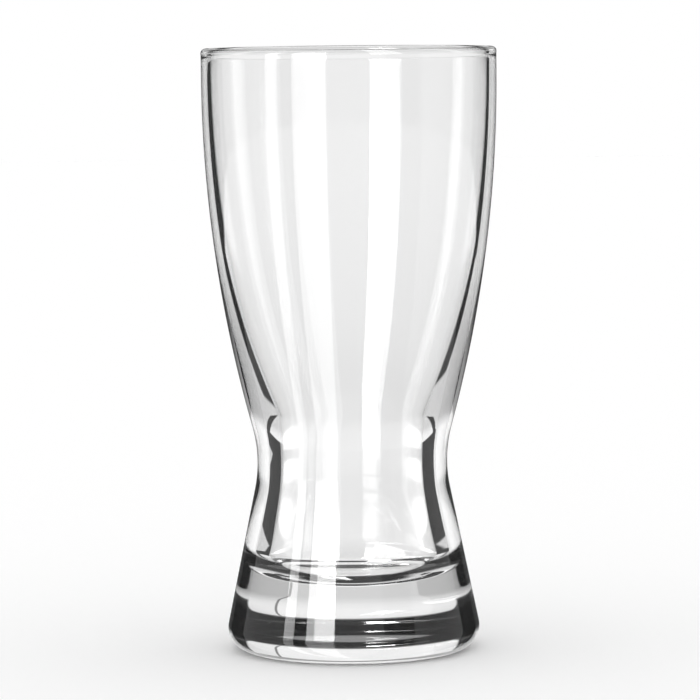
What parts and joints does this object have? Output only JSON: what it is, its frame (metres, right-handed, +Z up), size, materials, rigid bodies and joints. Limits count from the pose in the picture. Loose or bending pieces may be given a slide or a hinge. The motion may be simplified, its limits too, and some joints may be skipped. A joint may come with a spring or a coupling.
{
  "type": "pilsner glass",
  "caption": "Footed pilsner glass in clear glass: tall bowl narrowing to a waist, solid flared base with a rounded heel, rounded rim.",
  "frame": {"origin": "on the axis, in the plane that the foot stands on", "axes": "+Z up along the axis of revolution, towards the rim; +X and +Y are any two directions square to it"},
  "size_m": [0.0728, 0.0728, 0.149],
  "materials": {
    "clear_glass": "clear soda-lime glass, smooth and fire-polished"
  },
  "bodies": {
    "root": {"base": "clear_glass", "bowl": "clear_glass", "rim": "clear_glass"}
  },
  "joints": []
}
